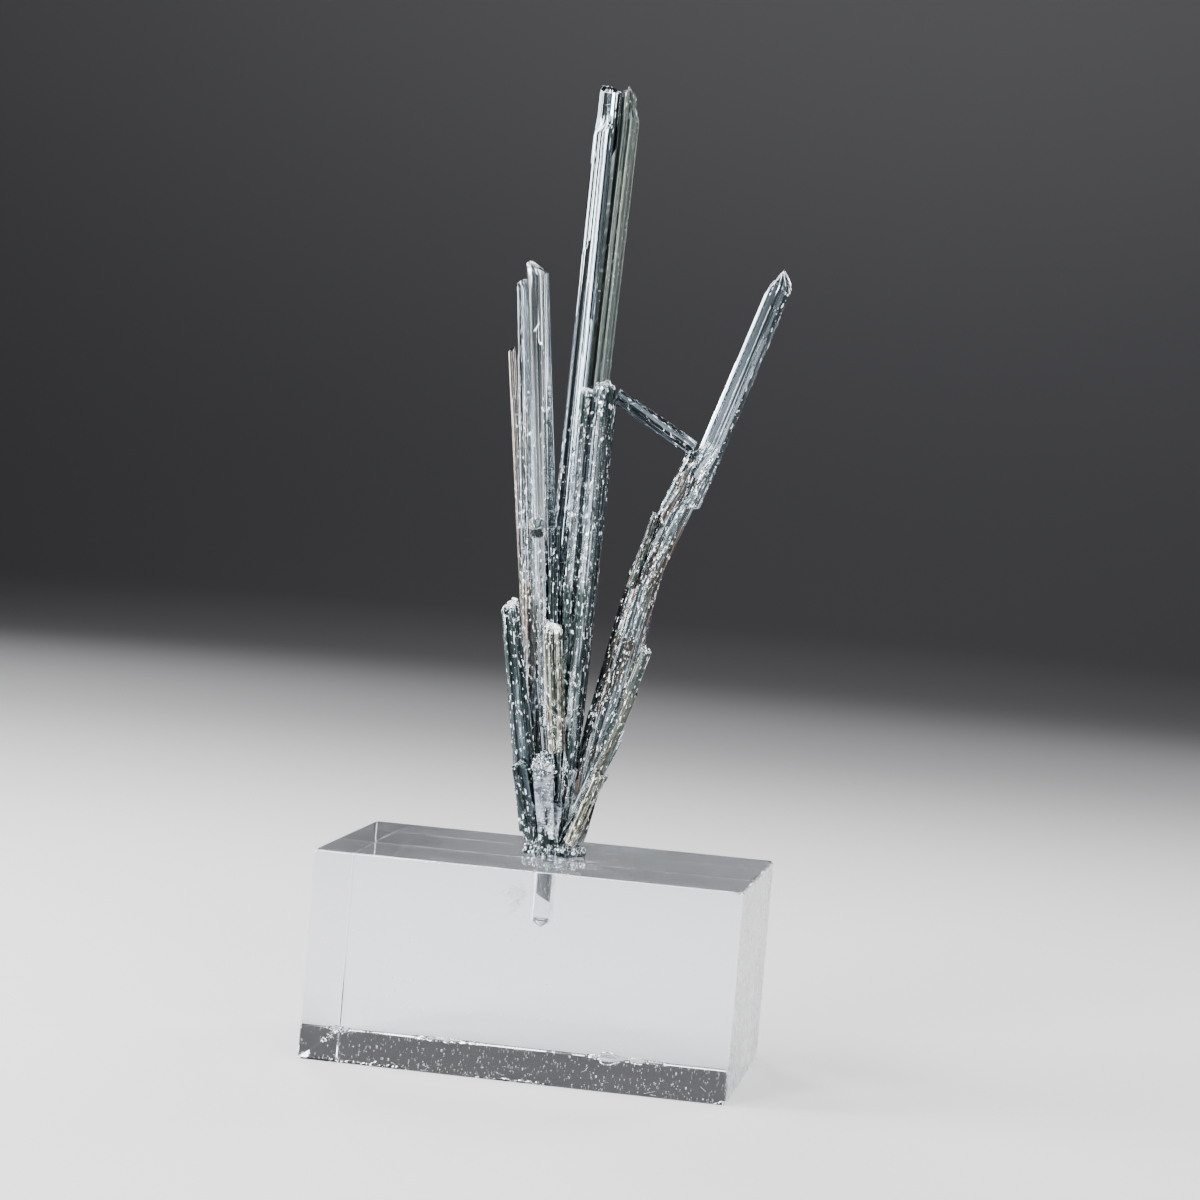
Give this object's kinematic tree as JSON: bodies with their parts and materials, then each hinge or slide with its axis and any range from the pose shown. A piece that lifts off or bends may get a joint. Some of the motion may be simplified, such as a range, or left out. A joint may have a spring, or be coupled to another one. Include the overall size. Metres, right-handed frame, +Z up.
{
  "type": "stibnite crystal spray",
  "caption": "A spray of striated metallic stibnite crystals fanning up from one root, cemented in a drilled socket in a clear acrylic display block.",
  "frame": {"origin": "centre of the acrylic block's bottom face", "axes": "+Z up, +X along the block's length to the right as seen from the front of the spray, -Y the front of the spray"},
  "size_m": [0.0762, 0.0508, 0.177],
  "materials": {
    "acrylic": "clear polished cast acrylic with a few scratches and chipped corners",
    "cement": "clear set cement with small bubbles",
    "root_crust": "etched and frosted metallic grey mineral with a dark crust",
    "stibnite": "lead-grey metallic mineral, bright and striated along the crystal, etched lower down"
  },
  "bodies": {
    "root": {"acrylic_block": "acrylic", "socket_glue": "cement", "root_mass": "root_crust", "tall_crystal": "stibnite", "centre_crystal": "stibnite", "left_bright_crystal": "stibnite", "left_brown_crystal": "stibnite", "left_sliver": "stibnite", "inner_short_crystal": "stibnite", "front_pale_blade": "stibnite", "right_crystal": "stibnite", "right_sliver": "stibnite", "right_short_crystal": "stibnite", "lower_right_stub": "stibnite", "left_stub": "stibnite", "lower_left_stub": "stibnite", "right_back_blade": "stibnite", "back_splinter": "stibnite", "bridge_crystal": "stibnite"}
  },
  "joints": []
}
